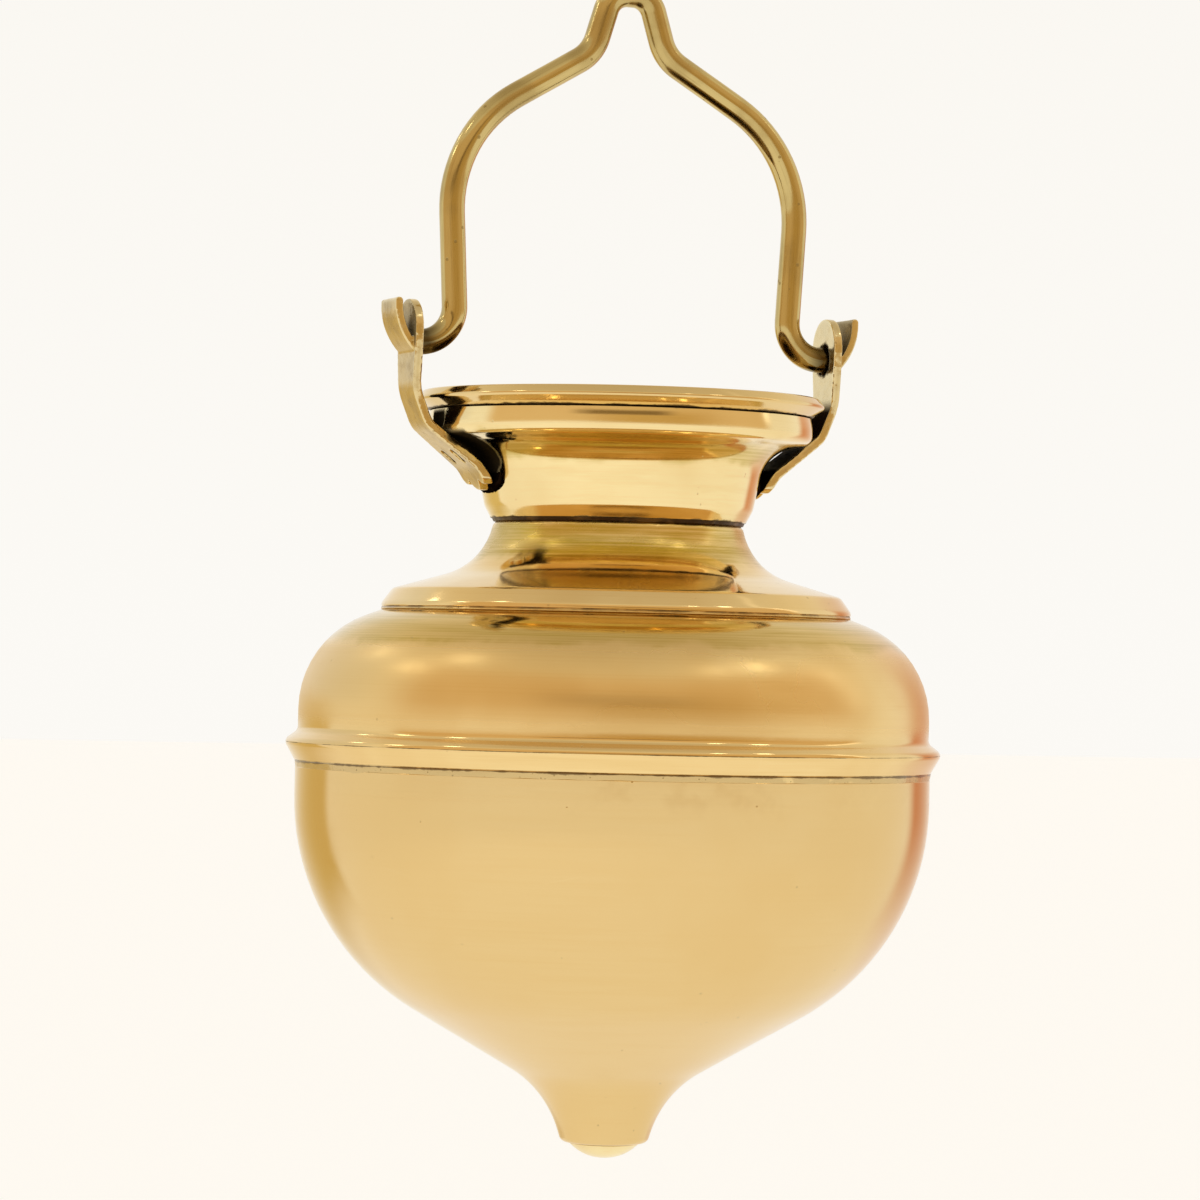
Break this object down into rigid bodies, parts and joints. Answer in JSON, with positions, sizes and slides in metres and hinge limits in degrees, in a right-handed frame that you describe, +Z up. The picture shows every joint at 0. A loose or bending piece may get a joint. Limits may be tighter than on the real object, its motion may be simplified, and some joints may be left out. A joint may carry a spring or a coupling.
{
  "type": "hanging drip vessel",
  "caption": "Pointed-bottomed brass drip vessel with a wide mouth and ridged shoulder, hung by a bent-rod bail from two forked ears.",
  "frame": {"origin": "inside of the bail's hanging notch, where the hook or chain bears", "axes": "+Z up along the vessel's axis, X through the two ears along the bail's hinge line, Y across them"},
  "size_m": [0.1278, 0.1278, 0.2301],
  "materials": {
    "spun_brass": "polished",
    "cast_brass": "satin",
    "rod_brass": "drawn and lightly tarnished",
    "solder": "dull, darkened"
  },
  "bodies": {
    "bail": {"bail": "rod_brass"},
    "vessel": {"left_ear": "cast_brass", "right_ear": "cast_brass", "left_ear_braze": "solder", "right_ear_braze": "solder", "rim_ring": "spun_brass", "collar": "spun_brass", "neck": "spun_brass", "shoulder_dome": "spun_brass", "lower_bowl": "spun_brass", "drip_tip": "spun_brass", "waist_solder": "solder", "ledge_solder": "solder", "body_solder": "solder", "tip_solder": "solder"}
  },
  "joints": [
    {"name": "bail_hinge", "type": "hinge", "parent": "bail", "child": "vessel", "pos_m": [0, 0, -0.0674], "axis": [1, 0, 0], "range_deg": [-108, 108]}
  ]
}
